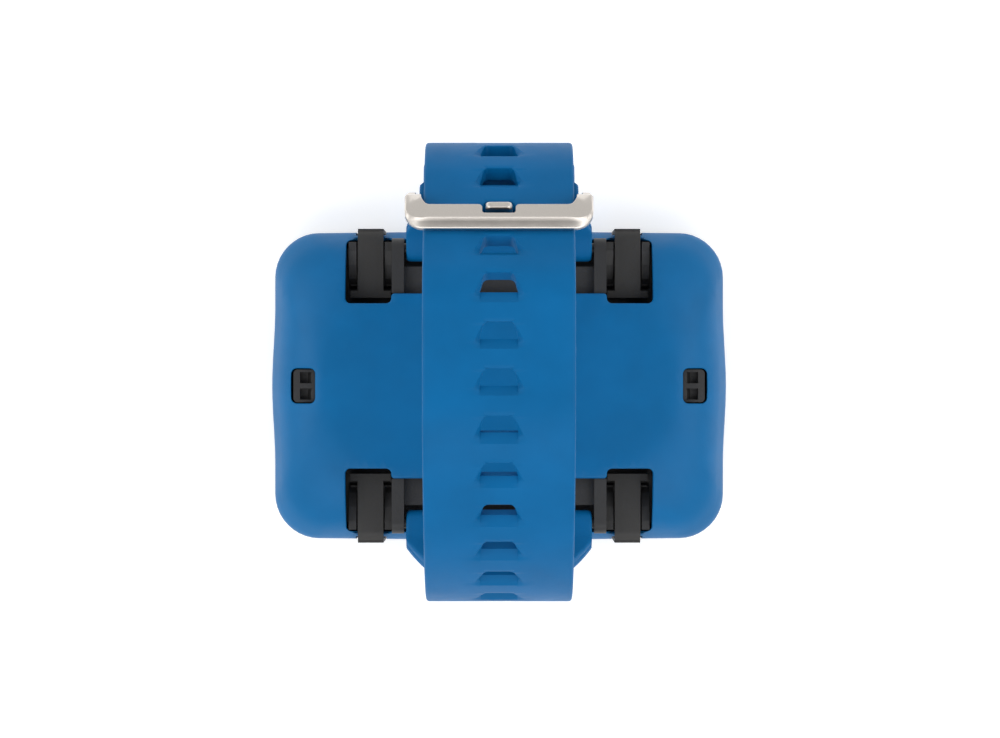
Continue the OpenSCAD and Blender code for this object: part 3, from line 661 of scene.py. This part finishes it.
PIN_Y, PIN_Z = 37.6, 61.9
STRAP_END_R, STRAP_END_W, SLOT_W, SLOT_L = 2.6, 32, 6.4, 4.2
STEP = 0.8                       # spacing of a strap's plain rows


def rise(dy, dz):
    """The arc that turns upright over a reach dy and a height dz: its radius and its turn."""
    return (dy * dy + dz * dz) / (2 * dy), 2 * math.degrees(math.atan(dy / dz))


def long_route():
    """The long strap from its bar, over the top, to its tail on the short strap."""
    radius, turn = rise(WIDE_Y - BAR_Y, WIDE_Z - BAR_Z)
    place = (Vector((-WIDE_Y, WIDE_Z)), 90)
    for leg in CROWN:
        place = step_along(*place, leg, leg_length(leg))
    slope = math.radians(SLOPE)
    short_r, _ = rise(SHORT_Y - BAR_Y, SHORT_Z - BAR_Z)
    drop = place[0].y - SHORT_Z - KNEE_R * (1 - math.cos(slope)) - SHOULDER_R * math.cos(slope)
    fall = drop / math.sin(slope)
    reach = SHORT_Y + LAYER - place[0].x - SHOULDER_R * (1 - math.sin(slope))
    flat = reach - KNEE_R * math.sin(slope) - fall * math.cos(slope)
    legs = [
        (radius, -turn), *CROWN, (flat, 0), (KNEE_R, -SLOPE), (fall, 0), (SHOULDER_R, SLOPE - 90),
        (short_r + LAYER, -TAIL_TURN),
    ]
    return (Vector((-BAR_Y, BAR_Z)), 90 + turn), legs


def short_route():
    """The short strap from its bar to where it bends in to the buckle's pin."""
    radius, turn = rise(SHORT_Y - BAR_Y, SHORT_Z - BAR_Z)
    return (Vector((BAR_Y, BAR_Z)), 90 - turn), [(radius, turn), (SHOULDER_R - LAYER, 50)]


def head_form(z, s):
    """Half width, thickness and depth of the flank's line at a height and distance near a strap's bar."""
    near_bar = s < 30
    widen = min(max((BAR_Z + HEAD_TOP - z) / HEAD_TAPER, 0), 1) if near_bar else 0
    half = STRAP_W / 2 + (HEAD_W - STRAP_W) / 2 * widen
    thick = STRAP_T + (2 * KNUCKLE_R - STRAP_T) * (1 - smooth(s / KNUCKLE_L))
    return half, thick, HEAD_LINE * widen


def head_rows(start, legs, until):
    """Rows of the knuckle around the bar and of the strap's plain start."""
    rows = []
    for a in (2, 12, 22, 32, 42, 52, 64, 77):
        s = -KNUCKLE_R * math.cos(math.radians(a))
        draw = max(HEAD_CORNER_R - KNUCKLE_R - s, 0)
        half = HEAD_W / 2 - HEAD_CORNER_R + math.sqrt(HEAD_CORNER_R**2 - draw**2)
        rows.append(row(s, half, 2 * KNUCKLE_R * math.sin(math.radians(a))))
    for s in spread(0, until, STEP):
        half, thick, groove = head_form(travel(start, legs, s)[0].y, s)
        rows.append(row(s, half, thick, cut=HOLE_NARROW / 2, groove=groove))
    return rows


def hole_rows(centre):
    """Rows of one strap hole: the ramp that leads into it, the hole, and the plain stretch after it."""
    half, thick = STRAP_W / 2, STRAP_T
    wide, narrow = centre - HOLE_L / 2, centre + HOLE_L / 2

    def fold(s):
        """Half the width of the recess around a hole, which widens down to the ramp's foot."""
        return (HOLE_NARROW + (RAMP_W - HOLE_NARROW) * (narrow - s) / (HOLE_L + RAMP_L)) / 2

    rows = []
    for k in range(4):
        s, dig, cut = wide - RAMP_L * (1 - k / 4), RAMP_DEPTH * k / 4, HOLE_WIDE / 2
        rows.append(row(s, half, thick, cut=cut, dig=dig, side=FLANK * dig, flare=fold(s) - cut))
    for part in HOLE_ROWS:
        s = wide + HOLE_L * part
        past = max(HOLE_L * (part - 1) + HOLE_R, 0)
        straight = (HOLE_WIDE + (HOLE_NARROW - HOLE_WIDE) * part) / 2
        cut = straight - HOLE_R + math.sqrt(HOLE_R**2 - past**2)
        rows.append(row(
            s, half, thick, cut=cut, dig=0 if part else RAMP_DEPTH, lip=HOLE_LIP,
            side=FLANK * RAMP_DEPTH * (1 - part), flare=max(fold(s) - cut, MIN_FLARE), open=True,
        ))
    rows.append(row(narrow, half, thick, cut=HOLE_NARROW / 2 - HOLE_R, lip=HOLE_LIP, end=True))
    plain_l = HOLE_PITCH - HOLE_L - RAMP_L
    for s in spread(narrow + 0.18, narrow + plain_l, STEP):
        cut = (HOLE_NARROW + (HOLE_WIDE - HOLE_NARROW) * (s - narrow) / plain_l) / 2
        rows.append(row(s, half, thick, cut=cut))
    return rows


def strap_long():
    """The long strap with its holes and rounded tip, which bends between the case and the loop."""
    start, legs = long_route()
    rows = head_rows(start, legs, FIRST_HOLE - HOLE_L / 2 - RAMP_L)
    for i in range(HOLES):
        rows += hole_rows(FIRST_HOLE + i * HOLE_PITCH)
    tip = route_length(legs) - TIP_R
    rows += [row(s, STRAP_W / 2, STRAP_T) for s in spread(rows[-1]["s"] + STEP, tip, STEP)]
    for a in range(0, 91, 10):
        past = TIP_R * math.sin(math.radians(a))
        half = STRAP_W / 2 - TIP_R * (1 - math.cos(math.radians(a)))
        thin = max(0, past - TIP_R + TIP_THIN_L) / TIP_THIN_L
        rows.append(row(tip + past, half, STRAP_T * math.sqrt(1 - 0.8 * thin * thin)))
    verts, faces = band_mesh(start, legs, rows, 1, STRAP_EDGE)
    strap = mesh_piece("strap_long_band", verts, faces, "strap_rubber")
    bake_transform(strap)
    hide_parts("strap_long")


def strap_short():
    """The short strap, whose slotted end turns in to wrap the buckle's pin."""
    start, legs = short_route()
    total = route_length(legs)
    end, heading = travel(start, legs, total)
    h = math.radians(heading)
    to_pin = Vector((PIN_Y, PIN_Z)) - end
    pin_s = total + to_pin.dot(Vector((math.cos(h), math.sin(h))))
    inward = to_pin.dot(Vector((-math.sin(h), math.cos(h))))
    slot_s = pin_s - SLOT_L
    rows = head_rows(start, legs, slot_s - 2)
    for s in spread(slot_s - 2, pin_s, 0.4):
        grow, widen = smooth((s - pin_s + 5) / 5), smooth((s - pin_s + 3) / 1.2)
        half = (STRAP_W + (STRAP_END_W - STRAP_W) * widen) / 2
        thick = STRAP_T + (2 * STRAP_END_R - STRAP_T) * grow
        rows.append(row(s, half, thick, shift=inward * grow, cut=SLOT_W / 2, open=s > slot_s))
    for a in range(0, 89, 11):
        s = pin_s + STRAP_END_R * math.sin(math.radians(a))
        thick = 2 * STRAP_END_R * math.cos(math.radians(a))
        rows.append(row(s, STRAP_END_W / 2, thick, shift=inward, cut=SLOT_W / 2, open=True))
    verts, faces = band_mesh(start, legs, rows, -1, 0.6)
    strap = mesh_piece("strap_short_band", verts, faces, "strap_rubber", "strap_loop")
    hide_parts("strap_short")


strap_long()
strap_short()


# ---- Buckle: the frame and the tongue follow their own routes down to the pin ----
FRAME_W, FRAME_T = 37.2, 2.2
FRONT_Y, FRONT_Z, FRONT_LEAN = 33.5, 76.9, -25  # centre and slope of the frame's front bar
FRONT_V, INNER_V = -2.4, 2.4                    # the front bar's two edges along the route
BEND_V, BEND_R = 2.6, 2.2                       # where the route bends down to the pin, and how tightly
ARM_X, EYE_X = 15.35, 16.7                      # inner side of the arms at the front bar and at the pin
CORNER_R, INNER_R, EYE_R = 3.6, 1.8, 1.6
NOTCH_W, NOTCH_V, NOTCH_IN_R, NOTCH_OUT_R = 6.6, 1.9, 0.5, 0.7
BEVEL_W, BEVEL_D, ARM_BEVEL = 1.9, 1.7, 0.35    # bevel along the front bar, and along the arms
TONGUE_W, TONGUE_T, TONGUE_EYE_R = 5.4, 1.6, 1.9
TONGUE_HEAD, TONGUE_R, TONGUE_TURN, TONGUE_TIP = 130, 13, -68, 1.2


def frame_route():
    """From the middle of the front bar round the bend and straight down to the pin."""
    start = (Vector((FRONT_Y, FRONT_Z)), FRONT_LEAN)
    low, high = 30.0, 120.0
    for _ in range(40):
        turn = (low + high) / 2
        legs = [(BEND_V, 0), (BEND_R, -turn)]
        place, heading = travel(start, legs, route_length(legs))
        to_pin = Vector((PIN_Y, PIN_Z)) - place
        h = math.radians(heading)
        if math.cos(h) * to_pin.y - math.sin(h) * to_pin.x > 0:
            high = turn
        else:
            low = turn
    return start, [*legs, (to_pin.length, 0)]


def frame_outlines():
    """Outer and inner point over half the frame, (x, v) and (x, v), and the part round the corner."""
    half, centre_v = FRAME_W / 2, FRONT_V + CORNER_R
    notch_x, notch_v = NOTCH_W / 2, INNER_V - NOTCH_V
    r0, r1 = NOTCH_IN_R, NOTCH_OUT_R
    inner = [(0, notch_v), (1.4, notch_v), *arc(notch_x - r0, notch_v + r0, r0, -90, 0, 4)]
    inner += [*arc(notch_x + r1, INNER_V - r1, r1, 180, 90, 4), (7, INNER_V), (10.5, INNER_V)]
    pairs = [((x, FRONT_V), (x, v), 0) for x, v in inner]
    corner_x = ARM_X - INNER_R
    outer = [(corner_x, FRONT_V), *arc(half - CORNER_R, centre_v, CORNER_R, -90, 0, 13)]
    outer.append((half, INNER_V + INNER_R))
    inner = arc(corner_x, INNER_V + INNER_R, INNER_R, -90, 0, len(outer) - 1)
    pairs += [(o, i, k / (len(outer) - 1)) for k, (o, i) in enumerate(zip(outer, inner))]
    return pairs


def frame_profile(length, half_t, w, d):
    """Closed section from the outer point inwards, (distance, height), with a bevel w wide and d deep."""
    r = min(0.2, half_t * 0.5)
    d = min(d, half_t)
    corner = ((0, 1), (0.13, 0.5), (0.5, 0.13), (1, 0))
    points = [(r * a, -half_t + r * b) for a, b in corner]
    points += [(length / 2, -half_t)]
    points += [(length - r * a, -half_t + r * b) for a, b in reversed(corner)]
    points += [(length - r * a, half_t - r * b) for a, b in corner]
    points += [((length + w) / 2, half_t), (w, half_t), (w * 0.6, half_t - d * 0.52)]
    points += [(w * 0.1 + 0.03, half_t - d * 0.88), (0, half_t - d - 0.06)]
    return points


def frame_sections(pin_v):
    """Sections over half the frame: outer point, inner point, half thickness, bevel width and depth."""
    sections = []
    for outer, inner, part in frame_outlines():
        fade = 1 - smooth(part)
        bevel_w, bevel_d = (ARM_BEVEL + (size - ARM_BEVEL) * fade for size in (BEVEL_W, BEVEL_D))
        sections.append((outer, inner, FRAME_T / 2, bevel_w, bevel_d))
    first_v = INNER_V + INNER_R
    stops = spread(first_v + 0.3, pin_v - 2, 0.5)
    stops += [pin_v + EYE_R * math.sin(math.radians(a)) for a in range(-90, 89, 9)]
    for v in stops:
        eye = math.sqrt(max(EYE_R**2 - (v - pin_v) ** 2, 0))
        thick = eye if v > pin_v else max(FRAME_T / 2, eye)
        inner_x = ARM_X + (EYE_X - ARM_X) * smooth((v - first_v) / (pin_v - 3.4 - first_v))
        sections.append(((FRAME_W / 2, v), (inner_x, v), thick, ARM_BEVEL, ARM_BEVEL))
    return sections


def buckle_frame():
    """The U-shaped frame, swept through its sections from one pin eye to the other."""
    start, legs = frame_route()
    sections = frame_sections(route_length(legs))
    verts, faces = [], []

    def ring(section, side):
        (xo, vo), (xi, vi), half_t, bevel_w, bevel_d = section
        length = math.hypot(xi - xo, vi - vo)
        points = []
        for d, height in frame_profile(length, half_t, bevel_w, bevel_d):
            part = d / length
            (y, z), heading = travel(start, legs, vo + (vi - vo) * part)
            h = math.radians(heading)
            x = xo + (xi - xo) * part
            verts.append((side * x, y - height * math.sin(h), z + height * math.cos(h)))
            points.append(len(verts) - 1)
        return points

    rings = [ring(s, -1) for s in reversed(sections)] + [ring(s, 1) for s in sections[1:]]
    n = len(rings[0])
    for a, b in zip(rings, rings[1:]):
        faces += [(a[j], a[(j + 1) % n], b[(j + 1) % n], b[j]) for j in range(n)]
    faces += [tuple(rings[0]), tuple(rings[-1])]
    frame_piece = mesh_piece("buckle_frame_shape", verts, faces, "buckle_steel", "buckle_frame", sharp=28)
    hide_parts("buckle_frame")


def buckle_tongue():
    """The curved tongue, from the eye round the pin to its rounded tip."""
    start, legs = (Vector((PIN_Y, PIN_Z)), TONGUE_HEAD), [(TONGUE_R, TONGUE_TURN)]
    tip, half = route_length(legs) - TONGUE_TIP, TONGUE_W / 2
    rows = []
    for a in range(-88, 1, 11):
        s = TONGUE_EYE_R * math.sin(math.radians(a))
        rows.append(row(s, half, 2 * TONGUE_EYE_R * math.cos(math.radians(a))))
    for s in spread(0.3, tip, 0.5):
        thick = max(TONGUE_T, 2 * math.sqrt(max(TONGUE_EYE_R**2 - s * s, 0)))
        rows.append(row(s, half, thick))
    for a in range(0, 91, 15):
        draw = 1 - math.cos(math.radians(a))
        s = tip + TONGUE_TIP * math.sin(math.radians(a))
        rows.append(row(s, half - 1.1 * draw, TONGUE_T * (1 - 0.45 * draw)))
    verts, faces = band_mesh(start, legs, rows, -1, 0.4)
    tongue = mesh_piece("buckle_tongue_shape", verts, faces, "buckle_steel", "buckle_tongue", sharp=45)
    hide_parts("buckle_tongue")


KEEPER_TURN, KEEPER_L = -28.5, 5                # place round the short strap's lower arc, length along it
KEEPER_HALF, KEEPER_T, KEEPER_R, KEEPER_EDGE = 15.85, 0.7, 1.5, 0.25
KEEPER_ROOM = 0.8                               # what the loop leaves round both layers in thickness


def keeper():
    """A closed loop round both strap layers with soft edges."""
    short_r, _ = rise(SHORT_Y - BAR_Y, SHORT_Z - BAR_Z)
    turn = math.radians(KEEPER_TURN)
    out = Vector((math.cos(turn), math.sin(turn)))
    along = Vector((-math.sin(turn), math.cos(turn)))
    centre = Vector((SHORT_Y - short_r, SHORT_Z)) + (short_r + LAYER / 2) * out
    hx, hy = KEEPER_HALF, STRAP_T + (LAYER_GAP + KEEPER_ROOM) / 2 + KEEPER_T
    end, edge = KEEPER_L / 2, KEEPER_EDGE
    section = [(0, -end + edge), (edge * 0.3, -end + edge * 0.3), (edge, -end)]
    section += [(KEEPER_T - edge * 0.5, -end), (KEEPER_T, -end + edge * 0.5)]
    section += [(d, -v) for d, v in reversed(section)]
    verts, faces = [], []
    for depth, v in section:
        x, y = hx - depth, hy - depth
        r = KEEPER_R - depth
        ring = rounded_outline([(x, y, r), (-x, y, r), (-x, -y, r), (x, -y, r)], 8)
        for px, off in ring:
            place = centre + off * out + v * along
            verts.append((px, place.x, place.y))
    n, m = len(ring), len(section)
    for k in range(m):
        a, b = k * n, (k + 1) % m * n
        faces += [(a + j, a + (j + 1) % n, b + (j + 1) % n, b + j) for j in range(n)]
    piece = mesh_piece("keeper_loop", verts, faces, "keeper_rubber", "keeper", sharp=50)
    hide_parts("keeper")


buckle_frame()
buckle_tongue()
keeper()


# ---- Softened edges on the pieces kept from the CAD ----
for width, pieces in (
    (0.4, ["front_guard"]),
    (0.35, ["front_bezel"]),
    (0.3, ["rear_housing", "button_left", "button_centre", "button_right"]),
    (0.3, ["tab_top_left", "tab_top_right", "tab_bottom_left", "tab_bottom_right"]),
    (0.2, ["buckle_pin"]),
    (0.15, ["strap_bar_top", "strap_bar_bottom", "sensor_cap"]),
    (0.1, ["bar_screws"]),
):
    for node in pieces:
        bevel(nodes[node], width)


# ---- Floor, lights and camera ----
def floor():
    """A white floor with a little light of its own, so that it stays white in the shadows."""
    bpy.ops.mesh.primitive_plane_add(size=4, location=(0, 0, 0))
    plane = bpy.context.object
    plane.name = "floor"
    mat, tree, shader = material("floor white", (0.93, 0.93, 0.93), 0.9, specular=0.1)
    vary_roughness(tree, shader, noise(tree, 3), 0.88, 0.95)
    shader.inputs["Emission Color"].default_value = (1, 1, 1, 1)
    shader.inputs["Emission Strength"].default_value = 0.35
    plane.data.materials.append(mat)


def area_light(name, place, size, power):
    """A soft box that faces the middle of the object."""
    data = bpy.data.lights.new(name, "AREA")
    data.shape = "RECTANGLE"
    data.size, data.size_y = size
    data.energy = power
    lamp = bpy.data.objects.new(name, data)
    bpy.context.collection.objects.link(lamp)
    lamp.location = place
    aim = Vector((0, 0, 0.04)) - Vector(place)
    lamp.rotation_euler = aim.to_track_quat("-Z", "Y").to_euler()


def world(zenith, sides):
    """A sky that is darker overhead than around the sides, where the softboxes of a studio stand."""
    scene_world = bpy.data.worlds.new("studio")
    bpy.context.scene.world = scene_world
    scene_world.use_nodes = True
    tree = scene_world.node_tree
    coords = tree.nodes.new("ShaderNodeTexCoord")
    split_xyz = tree.nodes.new("ShaderNodeSeparateXYZ")
    fade = tree.nodes.new("ShaderNodeMapRange")
    fade.interpolation_type = "SMOOTHSTEP"
    fade.inputs["From Min"].default_value = math.cos(math.radians(32))
    fade.inputs["From Max"].default_value = math.cos(math.radians(5))
    fade.inputs["To Min"].default_value = sides
    fade.inputs["To Max"].default_value = zenith
    tree.links.new(coords.outputs["Generated"], split_xyz.inputs["Vector"])
    tree.links.new(split_xyz.outputs["Z"], fade.inputs["Value"])
    background = tree.nodes["Background"]
    background.inputs["Color"].default_value = (1, 1, 1, 1)
    tree.links.new(fade.outputs["Result"], background.inputs["Strength"])


def camera():
    """A long lens that looks straight down from over the strap."""
    data = bpy.data.cameras.new("camera")
    data.lens = 115.2
    data.sensor_width = 36
    eye = bpy.data.objects.new("camera", data)
    bpy.context.collection.objects.link(eye)
    eye.location = (0.2 * MM, 3.6 * MM, 707 * MM)
    bpy.context.scene.camera = eye


floor()
world(0.05, 0.8)
area_light("key", (-0.9, 0.15, 0.75), (0.8, 0.8), 3.6)
area_light("fill", (0.8, 0.1, 0.8), (0.8, 0.8), 2.6)
area_light("front", (0.05, -0.5, 0.9), (1.3, 0.5), 3.6)
camera()
bpy.context.scene.view_settings.view_transform = "Standard"
